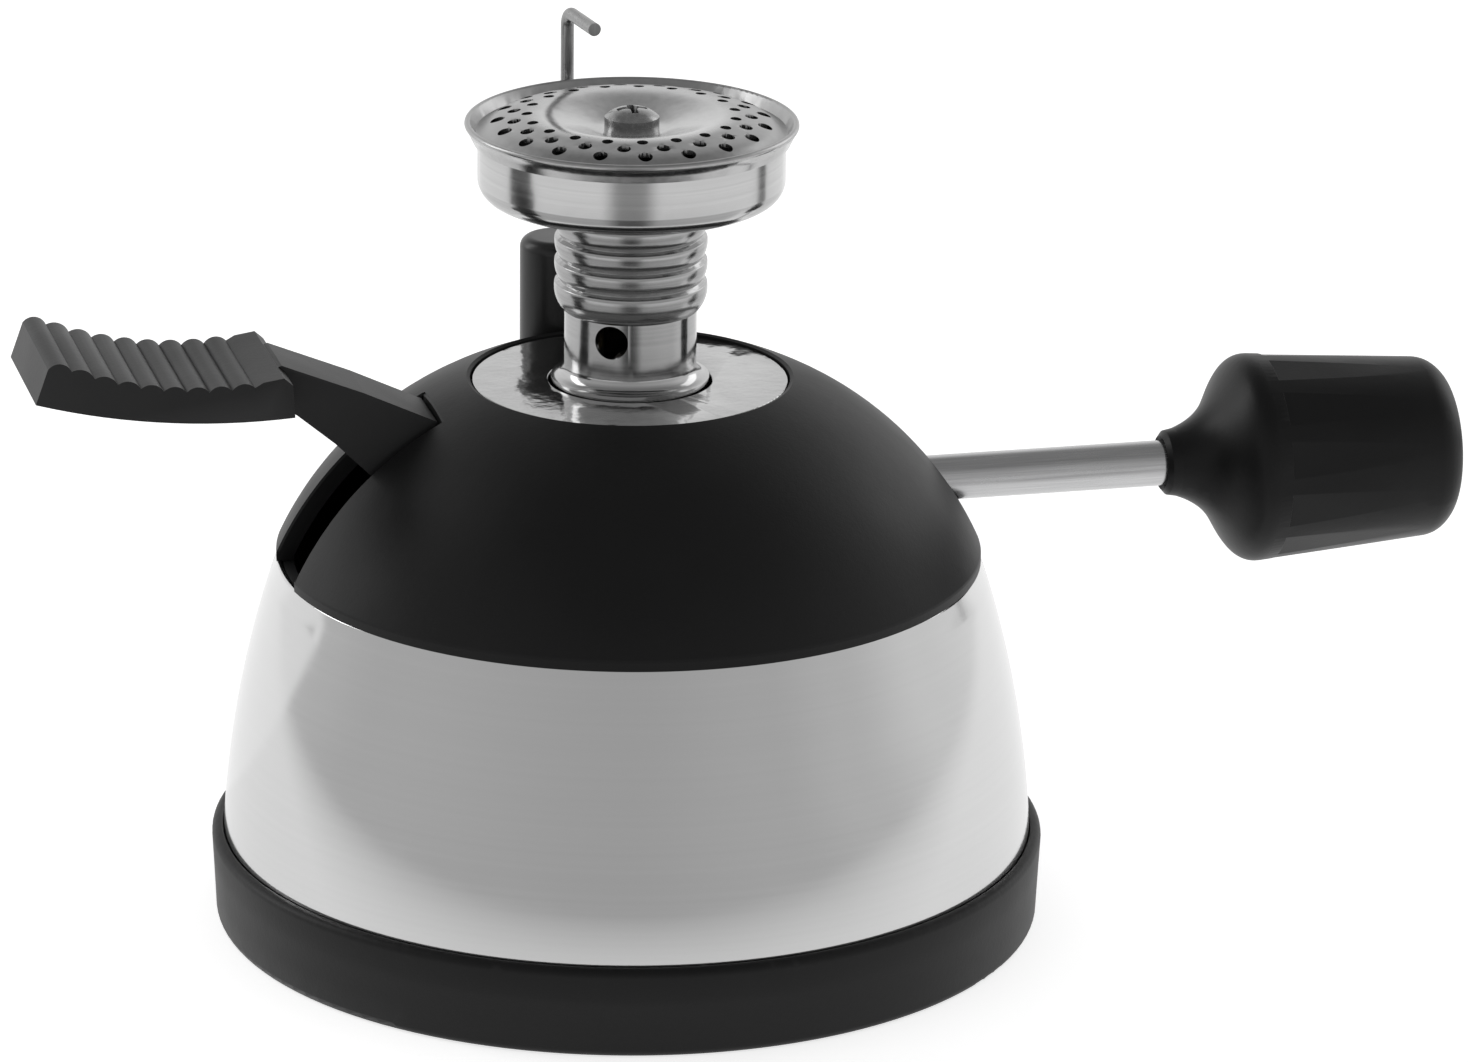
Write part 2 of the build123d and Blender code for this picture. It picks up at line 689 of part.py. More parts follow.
# ---- burner head --------------------------------------------------------------------------------
def gas_jet():
    z0 = block_z1 + 1.5
    z1 = block_z1 + tube_spigot_h
    shoulder = z1 + jet_hex_h
    nose_r1, nose_len = jet_nose
    jet = drum(jet_r - run_gap, z0, z1)
    jet = jet + extrude(Pos(0, 0, z1) * RegularPolygon(jet_flat_r, 6, major_radius=False), jet_hex_h)
    jet = jet + drum(nose_r1, shoulder, shoulder + nose_len)
    jet = chamfer(circles_at(jet, nose_r1, shoulder + nose_len), nose_r1 / 3)
    return jet - drum(jet_bore, z0, shoulder + nose_len - 1) - drum(jet_orifice, z1, shoulder + nose_len)


def mixing_tube():
    foot_z0 = plate_z1 - 0.6
    foot_z1 = foot_z0 + tube_foot_h
    flare_z = foot_z1 + tube_flare_h
    lower_r = tube_r + 0.6
    tube = turned(
        Polyline((tube_bore, block_z1), (lower_r, block_z1), (lower_r, foot_z0), (tube_foot_r, foot_z0),
                 (tube_foot_r, foot_z1)),
        ThreePointArc((tube_foot_r, foot_z1), (tube_r + 0.42, foot_z1 + 0.45), (tube_r, flare_z)),
        Polyline((tube_r, flare_z), (tube_r, cup_z0 + cup_t + 0.3), (tube_bore, cup_z0 + cup_t + 0.3),
                 (tube_bore, block_z1)),
    )
    drill = bar_x(air_hole_r, 0, tube_r + 2, z=plate_z1 + air_hole_rise)
    return tube - [Rot(0, 0, -120 * i) * drill for i in range(air_holes)]


def fin_sleeve():
    """Finned sleeve under the cup: each fin has a blunt shoulder on top and thins out downwards."""
    bore = tube_r + run_gap
    edges = [Line((bore, fin_foot_z), (bore + 0.1, fin_foot_z))]
    foot = (bore + 0.1, fin_foot_z)
    for i in range(fin_count):
        top = fin_foot_z + fin_first_rise + i * fin_pitch
        shoulder = (tube_r + fin_lip - 0.05, top - fin_edge)
        belly = (tube_r + fin_lip - 0.04, shoulder[1] * 0.6 + foot[1] * 0.4)
        edges.append(ThreePointArc(foot, belly, shoulder))
        edges.append(Line(shoulder, (tube_r + fin_notch, top)))
        foot = (tube_r + fin_notch, top)
    edges.append(Polyline(foot, (tube_r + fin_notch, cup_z0), (bore, cup_z0), (bore, fin_foot_z)))
    return turned(*edges)


def burner_cup():
    outer_flat = cup_r - cup_round
    inner_round = cup_round - cup_t
    lean = sqrt(0.5)
    hole = tube_r + run_gap
    outer_mid = (outer_flat + cup_round * lean, cup_z0 + cup_round * (1 - lean))
    inner_mid = (outer_flat + inner_round * lean, cup_z0 + cup_t + inner_round * (1 - lean))
    return turned(
        Line((hole, cup_z0), (outer_flat, cup_z0)),
        ThreePointArc((outer_flat, cup_z0), outer_mid, (cup_r, cup_z0 + cup_round)),
        Polyline((cup_r, cup_z0 + cup_round), (cup_r, cup_z1), (cup_r - cup_t, cup_z1),
                 (cup_r - cup_t, cup_z0 + cup_round)),
        ThreePointArc((cup_r - cup_t, cup_z0 + cup_round), inner_mid, (outer_flat, cup_z0 + cup_t)),
        Polyline((outer_flat, cup_z0 + cup_t), (hole, cup_z0 + cup_t), (hole, cup_z0)),
    )


def burner_cap():
    """Pressed cap: a rolled rim, a raised band with the flame ports and a dished middle."""
    bore = screw_shank_r + seat_gap
    foot = (cup_r + cap_t, cup_z1 - cap_foot_drop)
    rim_r1 = cup_r + cap_rim_out
    rim_z1 = cup_z1 + cap_rim_rise
    crest_z = cup_z1 + crest_rise
    valley = (cup_r + 0.15, cup_z1 + cap_t + 0.1)
    under_valley = (cup_r, cup_z1 + 0.05)
    cap = turned(
        Polyline((cup_r + 0.05, foot[1]), foot, (rim_r1 - 0.1, rim_z1 - 0.6)),
        ThreePointArc((rim_r1 - 0.1, rim_z1 - 0.6), (rim_r1 - 0.05, rim_z1), (rim_r1 - 0.6, rim_z1 - 0.1)),
        Line((rim_r1 - 0.6, rim_z1 - 0.1), valley),
        Spline(valley, (15.6, crest_z - 1.05), (13.2, crest_z - 0.35), (crest_r, crest_z),
               tangents=[(-1, 0.25), (-1, 0)]),
        Spline((crest_r, crest_z), (7.5, crest_z - 0.65), (5.0, dish_z + 0.4), (dish_r, dish_z),
               tangents=[(-1, 0), (-1, 0)]),
        Polyline((dish_r, dish_z), (bore, dish_z), (bore, dish_z - cap_t), (dish_r, dish_z - cap_t)),
        Spline((dish_r, dish_z - cap_t), (5.2, dish_z - 0.08), (7.7, crest_z - 1.13),
               (crest_r, crest_z - cap_t), tangents=[(1, 0), (1, 0)]),
        Spline((crest_r, crest_z - cap_t), (13.1, crest_z - 0.85), (15.5, crest_z - 1.55), under_valley,
               tangents=[(1, 0), (1, -0.25)]),
        Polyline(under_valley, (cup_r + 0.05, cup_z1), (cup_r + 0.05, foot[1])),
    )
    step = 360 / holes_per_row
    drills = []
    for radius, hole_r, shift in cap_rows:
        for i in range(holes_per_row):
            x, y = polar(radius, first_hole_deg + (i + shift) * step)
            drills.append(drum(hole_r, cup_z1, crest_z + 1, x, y))
    return cap - drills


def cap_post():
    """Brass spider in the tube's mouth, tapped for the cap's screw."""
    z0 = cup_z0 - post_arm_w
    ring_r = tube_bore - run_gap
    spider = pipe(ring_r, ring_r - tube_wall, z0, cup_z0) + drum(post_hub_r, z0, gauze_z)
    arm = block(0, ring_r - tube_wall / 2, -post_arm_w / 2, post_arm_w / 2, z0, cup_z0)
    spider = spider + spread(arm, post_arms, 0)
    spider = spider + drum(screw_shank_r + post_collar, gauze_z, dish_z - cap_t)
    return spider - drum(screw_shank_r + run_gap, z0 + 1, dish_z - cap_t)


def flame_gauze():
    bore = screw_shank_r + post_collar + seat_gap
    return pipe(cup_r - cup_t - seat_gap, bore, gauze_z, gauze_z + gauze_t)


def cap_screw():
    z0 = dish_z
    z1 = z0 + screw_head_h
    crown_mid = (screw_head_r * 0.62, z1 + screw_crown * 0.72)
    head = turned(
        Polyline((0, z1 + screw_crown), (0, z0), (screw_head_r, z0), (screw_head_r, z1)),
        ThreePointArc((screw_head_r, z1), crown_mid, (0, z1 + screw_crown)),
    )
    length, width, depth = screw_slot
    slot = block(-length / 2, length / 2, -width / 2, width / 2, z1 - depth, z1 + 2)
    head = head - slot - Rot(0, 0, 90) * slot - drum(width, z1 - 1.6 * depth, z1 + 2)
    return head + drum(screw_shank_r, cup_z0 + 2, z0)


# ---- electrode ----------------------------------------------------------------------------------
def electrode_post():
    post = drum(electrode_post_r, electrode_bottom_z, electrode_top_z)
    post = fillet(post.edges().filter_by(GeomType.CIRCLE).sort_by(Axis.Z)[-1], electrode_round)
    wire_hole = drum(wire_r + 0.05, wire_foot_z, electrode_top_z, wire_leg_r - electrode_r)
    lead_hole = drum(lead_r + 0.05, electrode_bottom_z, electrode_bottom_z + 3)
    return Rot(0, 0, electrode_deg) * Pos(electrode_r, 0, 0) * (post - wire_hole - lead_hole)


def electrode_wire():
    path = FilletPolyline((wire_leg_r, 0, wire_foot_z), (wire_leg_r, 0, wire_arm_z),
                          (wire_leg_r - wire_arm_len, 0, wire_arm_z), radius=wire_bend)
    section = Plane(origin=path @ 0, z_dir=path % 0) * Circle(wire_r)
    return Rot(0, 0, electrode_deg) * sweep(section, path=path)


def ignition_lead():
    """High-voltage lead from the igniter's side terminal to the foot of the electrode post."""
    side = piezo_wy / 2
    path = FilletPolyline((piezo_x, side, lead_z), (piezo_x, side + 9, lead_z), (-13, 20, lead_z + 9),
                          (electrode_x, electrode_y, electrode_bottom_z - 9.5),
                          (electrode_x, electrode_y, electrode_bottom_z + 2.5), radius=3.4)
    section = Plane(origin=path @ 0, z_dir=path % 0) * Circle(lead_r)
    return sweep(section, path=path)


# ---- lever and igniter --------------------------------------------------------------------------
def pad_profile():
    """Side outline of the finger pad, from the pin: a dished row of ribs over a bowed underside."""
    tip_low = (-53.8, 12.3)
    tip_high = (-52.4, 16.25)
    heel = (-25.2, 9.0)
    dish_x = -33.8
    dish_low = 12.5
    dish_round = 40.0
    valley = []
    for i in range(rib_count + 1):
        x = -49.8 + i * rib_pitch
        valley.append((x, dish_low + dish_round - sqrt(dish_round ** 2 - (x - dish_x) ** 2)))
    edges = [ThreePointArc(heel, (-39.5, 9.35), tip_low), Line(tip_low, tip_high)]
    edges.append(ThreePointArc(tip_high, (-51.4, 16.8), valley[0]))
    for a, b in zip(valley, valley[1:]):
        crest = ((a[0] + b[0]) / 2, (a[1] + b[1]) / 2 + rib_rise)
        edges.append(ThreePointArc(a, crest, b))
    edges.append(Polyline(valley[-1], (-28.7, 13.25), (-26.4, 13.6), (-25.4, 12.7), heel))
    return edges


def arm_profile():
    """Side outline of the lever's arm, from the pin: out to the pad and back to the igniter's nose."""
    step_x = -slot_reach - 0.4
    slant = nose_r * sqrt(0.5)
    return Polyline(
        (-27.5, 9.7), (-27.5, 13.1), (-25.8, 13.6), (-16.5, 9.8), (step_x, 6.0), (step_x, 3.2),
        (0, hub_r), (0, -hub_r), (0.1 - nose_out, -nose_low - nose_r),
        (-nose_out - slant, -nose_low - slant), (-15.4, -0.3), (-19.9, 4.2), (-24.2, 7.8), close=True)


def plate_y(edges, width):
    return extrude(Plane.XZ * make_face(Curve() + list(edges)), width / 2, both=True)


def ignition_lever():
    pin = Pos(pivot_x, 0, pivot_z)
    pad = pin * plate_y(pad_profile(), pad_w)
    arm = pin * plate_y([arm_profile()], arm_w)
    hub = bar_y(hub_r, -arm_w / 2, arm_w / 2, pivot_x, pivot_z)
    nose = bar_y(nose_r, -arm_w / 2, arm_w / 2, nose_x, nose_z)
    return pad + arm + hub + nose - bar_y(pin_r + run_gap, -arm_w, arm_w, pivot_x, pivot_z)


def lever_pin():
    reach = cheek_y + sheet_t + 0.5
    pin = bar_y(pin_r, -reach, reach, pivot_x, pivot_z)
    return chamfer(pin.edges().filter_by(GeomType.CIRCLE), 0.3)


def piezo_body():
    x0 = piezo_x - piezo_lx / 2
    half = piezo_wy / 2
    body = block(x0, x0 + piezo_lx, -half, half, chassis_z1, piezo_z1)
    body = fillet(body.edges().filter_by(Axis.Z), 0.8)
    return body - drum(plunger_r + run_gap, plunger_z0 - piezo_spring_len, piezo_z1, piezo_x)


def piezo_plunger():
    plunger = drum(plunger_r, plunger_z0, plunger_z1, piezo_x)
    return chamfer(plunger.edges().filter_by(GeomType.CIRCLE).sort_by(Axis.Z)[-1], 0.4)


def piezo_spring():
    z1 = plunger_z0
    return coil(plunger_r - 0.6, piezo_spring_wire, z1 - piezo_spring_len, z1, piezo_spring_turns, piezo_x)


PIECES = (
    base_ring, bottom_plate, base_screws, skirt_shell, dome_shell, top_plate,
    fuel_tank, tank_lid, tank_seal, tank_outlet, tank_nut, fuel_wick,
    fill_valve_body, fill_valve_stem, fill_valve_spring,
    chassis, chassis_screws, valve_body, valve_screws, feed_tube, packing_nut, valve_seal,
    valve_needle, control_rod, control_knob,
    gas_jet, mixing_tube, fin_sleeve, burner_cup, flame_gauze, cap_post, burner_cap, cap_screw,
    electrode_post, electrode_wire, ignition_lead,
    ignition_lever, lever_pin, piezo_body, piezo_plunger, piezo_spring,
)

os.makedirs("parts", exist_ok=True)
for piece in PIECES:
    export_step(piece(), f"parts/{piece.__name__}.step")
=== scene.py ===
import json
import math

import bmesh
import bpy
from mathutils import Matrix, Vector

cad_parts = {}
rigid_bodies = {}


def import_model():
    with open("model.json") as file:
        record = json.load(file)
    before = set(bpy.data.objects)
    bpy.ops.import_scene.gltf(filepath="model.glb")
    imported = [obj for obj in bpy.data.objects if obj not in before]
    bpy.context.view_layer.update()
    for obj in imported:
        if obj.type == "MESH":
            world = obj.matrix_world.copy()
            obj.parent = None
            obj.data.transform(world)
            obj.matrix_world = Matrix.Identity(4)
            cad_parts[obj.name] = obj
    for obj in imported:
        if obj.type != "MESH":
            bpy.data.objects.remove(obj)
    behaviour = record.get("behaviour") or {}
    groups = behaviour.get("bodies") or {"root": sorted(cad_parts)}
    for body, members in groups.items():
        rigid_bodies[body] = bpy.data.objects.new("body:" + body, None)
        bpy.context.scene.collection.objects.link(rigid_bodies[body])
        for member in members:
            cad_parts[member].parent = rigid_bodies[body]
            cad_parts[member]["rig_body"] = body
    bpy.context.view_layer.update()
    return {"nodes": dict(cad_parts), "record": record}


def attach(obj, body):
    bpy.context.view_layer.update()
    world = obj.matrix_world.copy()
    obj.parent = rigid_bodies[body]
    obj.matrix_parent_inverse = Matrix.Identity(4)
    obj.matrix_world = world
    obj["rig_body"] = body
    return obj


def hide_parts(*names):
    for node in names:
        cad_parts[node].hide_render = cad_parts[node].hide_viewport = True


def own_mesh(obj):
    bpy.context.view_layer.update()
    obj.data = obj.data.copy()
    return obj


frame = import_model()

mm = 0.001
weldGap = 0.000001  # points closer than this are one point
nodes = frame["nodes"]
scene = bpy.context.scene
print("burner: frame in,", len(nodes), "nodes")


def nodeBody(node):
    return nodes[node]["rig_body"]


def ramp(low, high, count):
    return [low + (high - low) * i / (count - 1) for i in range(count)]


def startFinish(name):
    mat = bpy.data.materials.new(name)
    mat.use_nodes = True
    tree = mat.node_tree
    shader = tree.nodes["Principled BSDF"]
    coords = tree.nodes.new("ShaderNodeTexCoord")
    return mat, tree, shader, coords


def addNoise(tree, vector, scale, detail=3.0, roughness=0.5):
    noise = tree.nodes.new("ShaderNodeTexNoise")
    noise.inputs["Scale"].default_value = scale
    noise.inputs["Detail"].default_value = detail
    noise.inputs["Roughness"].default_value = roughness
    tree.links.new(vector, noise.inputs["Vector"])
    return noise.outputs["Fac"]


def addRange(tree, value, low, high, fromLow=0.3, fromHigh=0.7):
    remap = tree.nodes.new("ShaderNodeMapRange")
    remap.inputs["From Min"].default_value = fromLow
    remap.inputs["From Max"].default_value = fromHigh
    remap.inputs["To Min"].default_value = low
    remap.inputs["To Max"].default_value = high
    tree.links.new(value, remap.inputs["Value"])
    return remap.outputs["Result"]


def mixTones(tree, share, first, second, blend="MIX"):
    # each of the three is a plain value or another node's output
    mix = tree.nodes.new("ShaderNodeMix")
    mix.data_type = "RGBA"
    mix.blend_type = blend
    for place, value in ((0, share), (6, first), (7, second)):
        if hasattr(value, "is_output"):
            tree.links.new(value, mix.inputs[place])
        else:
            mix.inputs[place].default_value = value
    return mix.outputs[2]


def addTone(tree, value, dark, light):
    return mixTones(tree, value, (*dark, 1), (*light, 1))


def scaled(tone, share):
    return [c * share for c in tone]


def grey(level):
    return (level, level, level, 1)


def addBump(tree, height, distance, strength=1.0, below=None):
    bump = tree.nodes.new("ShaderNodeBump")
    bump.inputs["Distance"].default_value = distance
    bump.inputs["Strength"].default_value = strength
    tree.links.new(height, bump.inputs["Height"])
    if below:
        tree.links.new(below, bump.inputs["Normal"])
    return bump.outputs["Normal"]


def stretched(tree, vector, scale):
    mapping = tree.nodes.new("ShaderNodeMapping")
    mapping.inputs["Scale"].default_value = scale
    tree.links.new(vector, mapping.inputs["Vector"])
    return mapping.outputs["Vector"]


def flatLength(tree, vector, shift=0.0):
    # how far a place is from the upright axis, or from one that stands aside by the shift
    level = tree.nodes.new("ShaderNodeVectorMath")
    level.operation = "MULTIPLY_ADD"
    level.inputs[1].default_value = (1, 1, 0)
    level.inputs[2].default_value = (shift, 0, 0)
    tree.links.new(vector, level.inputs[0])
    length = tree.nodes.new("ShaderNodeVectorMath")
    length.operation = "LENGTH"
    tree.links.new(level.outputs["Vector"], length.inputs[0])
    return length.outputs["Value"]


def aroundAxis(tree, vector):
    # radius, nothing, height: a noise fed with this runs in rings round the burner's axis
    split = tree.nodes.new("ShaderNodeSeparateXYZ")
    tree.links.new(vector, split.inputs["Vector"])
    rings = tree.nodes.new("ShaderNodeCombineXYZ")
    tree.links.new(flatLength(tree, vector), rings.inputs["X"])
    tree.links.new(split.outputs["Z"], rings.inputs["Z"])
    return rings.outputs["Vector"]


def edgeWear(tree, low, high):
    geometry = tree.nodes.new("ShaderNodeNewGeometry")
    return addRange(tree, geometry.outputs["Pointiness"], 0, 1, low, high)


# what all the moulded plastics share: patches, grain and the paler worn edges
plasticBase = {"patchScale": 60, "darkShare": 0.82, "lightShare": 1.2, "wornShare": 1.9,
               "wornFrom": 0.53, "wornTo": 0.62, "smoother": 0.04, "rougher": 0.05,
               "pebbleShare": 0.35, "pebbleDepth": 1.6, "pebbleBump": 0.6, "grainBump": 0.8,
               "ior": 1.49, "sheenRoughness": 0.45}


def mouldedPlastic(name, look):
    mat, tree, shader, coords = startFinish(name)
    base = plasticBase
    place = coords.outputs["Object"]
    patch = addNoise(tree, place, base["patchScale"], 4)
    grain = addNoise(tree, place, look["grainScale"], 2)
    pebble = addNoise(tree, place, look["grainScale"] * base["pebbleShare"], 2)
    tone = look["tone"]
    dark = scaled(tone, base["darkShare"])
    light = scaled(tone, base["lightShare"])
    plain = addTone(tree, addRange(tree, patch, 0, 1), dark, light)
    edges = edgeWear(tree, base["wornFrom"], base["wornTo"])
    worn = mixTones(tree, edges, plain, (*scaled(tone, base["wornShare"]), 1))
    tree.links.new(worn, shader.inputs["Base Color"])
    rough = look["roughness"]
    uneven = addRange(tree, patch, rough - base["smoother"], rough + base["rougher"])
    tree.links.new(uneven, shader.inputs["Roughness"])
    coarse = addBump(tree, pebble, look["grainDepth"] * base["pebbleDepth"], base["pebbleBump"])
    fine = addBump(tree, grain, look["grainDepth"], base["grainBump"], coarse)
    tree.links.new(fine, shader.inputs["Normal"])
    shader.inputs["IOR"].default_value = base["ior"]
    shader.inputs["Specular IOR Level"].default_value = look["gloss"]
    shader.inputs["Sheen Weight"].default_value = look["sheen"]
    shader.inputs["Sheen Roughness"].default_value = base["sheenRoughness"]
    return mat


# what all the bright metals share: fine lines and the smudges of use
metalBase = {"lineRoughness": 0.65, "smudgeScale": 140, "smudgeRoughness": 0.6,
             "smudgeFrom": 0.5, "smudgeTo": 0.8, "smoothShare": 0.75, "roughShare": 1.15, "bump": 0.5}


def polishedMetal(name, look):
    mat, tree, shader, coords = startFinish(name)
    base = metalBase
    place = coords.outputs["Object"]
    cloud = addNoise(tree, place, look["cloudScale"], 3)
    lines = aroundAxis(tree, place) if look["turned"] else stretched(tree, place, look["along"])
    streak = addNoise(tree, lines, look["lineScale"], 3, base["lineRoughness"])
    smudge = addNoise(tree, place, base["smudgeScale"], 5, base["smudgeRoughness"])
    tone = look["tone"]
    dim = scaled(tone, look["dim"])
    tree.links.new(addTone(tree, addRange(tree, streak, 0, 1), dim, tone), shader.inputs["Base Color"])
    rough = look["roughness"]
    lined = addRange(tree, streak, rough * base["smoothShare"], rough * base["roughShare"])
    smudged = addRange(tree, smudge, 0, look["smudge"], base["smudgeFrom"], base["smudgeTo"])
    total = tree.nodes.new("ShaderNodeMath")
    total.operation = "ADD"
    tree.links.new(lined, total.inputs[0])
    tree.links.new(smudged, total.inputs[1])
    tree.links.new(total.outputs[0], shader.inputs["Roughness"])
    wave = addBump(tree, cloud, look["cloudDepth"], base["bump"])
    fine = addBump(tree, streak, look["lineDepth"], base["bump"], wave)
    tree.links.new(fine, shader.inputs["Normal"])
    shader.inputs["Metallic"].default_value = 1.0
    shader.inputs["Anisotropic"].default_value = look["anisotropy"]
    return mat


def heatDulled(name, look):
    # bright metal whose upper side is duller outside its middle, where the flames stand
    mat = polishedMetal(name, look)
    tree = mat.node_tree
    shader = tree.nodes["Principled BSDF"]
    coords = tree.nodes["Texture Coordinate"]
    out = flatLength(tree, coords.outputs["Object"])
    outside = addRange(tree, out, 0, 1, *look["ringStart"])
    facing = tree.nodes.new("ShaderNodeSeparateXYZ")
    tree.links.new(coords.outputs["Normal"], facing.inputs["Vector"])
    upward = addRange(tree, facing.outputs["Z"], 0, 1, *look["upward"])
    both = tree.nodes.new("ShaderNodeMath")
    both.operation = "MULTIPLY"
    tree.links.new(outside, both.inputs[0])
    tree.links.new(upward, both.inputs[1])
    ring = both.outputs[0]
    colour = shader.inputs["Base Color"].links[0].from_socket
    rough = shader.inputs["Roughness"].links[0].from_socket
    dull = mixTones(tree, 1.0, colour, grey(look["ringTone"]), "MULTIPLY")
    tree.links.new(mixTones(tree, ring, colour, dull), shader.inputs["Base Color"])
    more = tree.nodes.new("ShaderNodeMath")
    more.operation = "MULTIPLY_ADD"
    more.inputs[1].default_value = look["ringRough"]
    tree.links.new(ring, more.inputs[0])
    tree.links.new(rough, more.inputs[2])
    tree.links.new(more.outputs[0], shader.inputs["Roughness"])
    return mat


softBase = {"fibreRoughness": 0.7, "uneven": 0.06, "bump": 0.7}


def softFinish(name, look):
    # rubber, felt, sleeves and burnt gauze
    mat, tree, shader, coords = startFinish(name)
    base = softBase
    fibre = addNoise(tree, coords.outputs["Object"], look["scale"], 6, base["fibreRoughness"])
    tone = look["tone"]
    dark = scaled(tone, look["dim"])
    tree.links.new(addTone(tree, addRange(tree, fibre, 0, 1), dark, tone), shader.inputs["Base Color"])
    rough = look["roughness"]
    uneven = addRange(tree, fibre, rough - base["uneven"], rough + base["uneven"])
    tree.links.new(uneven, shader.inputs["Roughness"])
    tree.links.new(addBump(tree, fibre, look["depth"], base["bump"]), shader.inputs["Normal"])
    shader.inputs["Sheen Weight"].default_value = look["sheen"]
    return mat


def zincPlate(name, look):
    mat, tree, shader, coords = startFinish(name)
    place = coords.outputs["Object"]
    spangle = tree.nodes.new("ShaderNodeTexVoronoi")
    spangle.inputs["Scale"].default_value = look["spangle"]
    tree.links.new(place, spangle.inputs["Vector"])
    split = tree.nodes.new("ShaderNodeSeparateColor")
    tree.links.new(spangle.outputs["Color"], split.inputs["Color"])
    flake = split.outputs["Red"]
    tone = look["tone"]
    dark = scaled(tone, look["dim"])
    tree.links.new(addTone(tree, flake, dark, tone), shader.inputs["Base Color"])
    uneven = addRange(tree, flake, look["smoothest"], look["roughest"], 0, 1)
    tree.links.new(uneven, shader.inputs["Roughness"])
    dents = addNoise(tree, place, look["dentScale"], 3)
    tree.links.new(addBump(tree, dents, look["dentDepth"], look["dentBump"]), shader.inputs["Normal"])
    shader.inputs["Metallic"].default_value = 1.0
    return mat


housingPlastic = {"tone": (0.0056, 0.0056, 0.0058), "roughness": 0.47, "gloss": 0.24, "sheen": 0.02,
                  "grainScale": 4200, "grainDepth": 0.000012}
leverPlastic = {"tone": (0.0115, 0.0115, 0.0119), "roughness": 0.46, "gloss": 0.36, "sheen": 0.04,
                "grainScale": 4200, "grainDepth": 0.000014}
knobPlastic = {"tone": (0.0056, 0.0056, 0.0058), "roughness": 0.38, "gloss": 0.22, "sheen": 0.02,
               "grainScale": 3000, "grainDepth": 0.000008}
glazedPost = {"tone": (0.008, 0.008, 0.008), "roughness": 0.3, "gloss": 0.5, "sheen": 0.0,
              "grainScale": 1500, "grainDepth": 0.000008}
igniterPlastic = {"tone": (0.06, 0.06, 0.066), "roughness": 0.4, "gloss": 0.5, "sheen": 0.0,
                  "grainScale": 3000, "grainDepth": 0.00001}
skirtMetal = {"tone": (0.68, 0.68, 0.68), "dim": 0.97, "roughness": 0.12, "smudge": 0.04, "turned": True,
              "cloudScale": 34, "cloudDepth": 0.00010, "lineScale": 900, "lineDepth": 0.0000010,
              "anisotropy": 0.15}
tubeMetal = {"tone": (0.52, 0.52, 0.52), "dim": 0.9, "roughness": 0.15, "smudge": 0.08, "turned": True,
             "cloudScale": 160, "cloudDepth": 0.00006, "lineScale": 2600, "lineDepth": 0.0000025,
             "anisotropy": 0.25}
finMetal = {"tone": (0.47, 0.47, 0.47), "dim": 0.84, "roughness": 0.21, "smudge": 0.10, "turned": True,
            "cloudScale": 260, "cloudDepth": 0.00008, "lineScale": 3400, "lineDepth": 0.0000040,
            "anisotropy": 0.2}
cupMetal = {"tone": (0.60, 0.60, 0.60), "dim": 0.88, "roughness": 0.15, "smudge": 0.08, "turned": True,
            "cloudScale": 110, "cloudDepth": 0.00010, "lineScale": 1500, "lineDepth": 0.0000050,
            "anisotropy": 0.25}
capMetal = {"tone": (0.56, 0.56, 0.56), "dim": 0.88, "roughness": 0.19, "smudge": 0.08, "turned": False,
            "along": (1, 1, 1), "cloudScale": 120, "cloudDepth": 0.00020, "lineScale": 900,
            "lineDepth": 0.0000020, "anisotropy": 0.0,
            "ringStart": (0.0100, 0.0120), "upward": (-0.1, 0.15), "ringTone": 0.78, "ringRough": 0.15}
plateMetal = {"tone": (0.46, 0.46, 0.46), "dim": 0.92, "roughness": 0.12, "smudge": 0.10, "turned": False,
              "along": (1, 1, 1), "cloudScale": 240, "cloudDepth": 0.00032, "lineScale": 2600,
              "lineDepth": 0.0000030, "anisotropy": 0.0}
screwMetal = {"tone": (0.44, 0.44, 0.44), "dim": 0.7, "roughness": 0.27, "smudge": 0.12, "turned": False,
              "along": (1, 1, 1), "cloudScale": 420, "cloudDepth": 0.00010, "lineScale": 1400,
              "lineDepth": 0.0000040, "anisotropy": 0.0}
sparkWire = {"tone": (0.37, 0.37, 0.37), "dim": 0.7, "roughness": 0.32, "smudge": 0.1, "turned": False,
             "along": (1, 1, 0.06), "cloudScale": 420, "cloudDepth": 0.00003, "lineScale": 5200,
             "lineDepth": 0.0000050, "anisotropy": 0.3}
# brass darkened to near black: painted shade for the gas jet and cap post, which are seen only down the hole
# in the cap
holeShadeBrass = {"tone": (0.035, 0.028, 0.018), "dim": 0.7, "roughness": 0.55, "smudge": 0.1, "turned": True,
             "cloudScale": 300, "cloudDepth": 0.00004, "lineScale": 3200, "lineDepth": 0.000004,
             "anisotropy": 0.0}
rodMetal = {"tone": (0.60, 0.60, 0.605), "dim": 0.84, "roughness": 0.24, "smudge": 0.08, "turned": False,
            "along": (0.02, 1, 1), "cloudScale": 120, "cloudDepth": 0.00002, "lineScale": 5200,
            "lineDepth": 0.000003, "anisotropy": 0.4}
tankMetal = {"tone": (0.72, 0.73, 0.75), "dim": 0.86, "roughness": 0.3, "smudge": 0.1, "turned": True,
             "cloudScale": 90, "cloudDepth": 0.00005, "lineScale": 1800, "lineDepth": 0.000004,
             "anisotropy": 0.3}
brass = {"tone": (0.80, 0.60, 0.26), "dim": 0.82, "roughness": 0.22, "smudge": 0.12, "turned": True,
         "cloudScale": 200, "cloudDepth": 0.00002, "lineScale": 3200, "lineDepth": 0.000003,
         "anisotropy": 0.2}
springMetal = {"tone": (0.55, 0.55, 0.57), "dim": 0.8, "roughness": 0.26, "smudge": 0.1, "turned": False,
               "along": (1, 1, 1), "cloudScale": 300, "cloudDepth": 0.00001, "lineScale": 6000,
               "lineDepth": 0.000002, "anisotropy": 0.0}
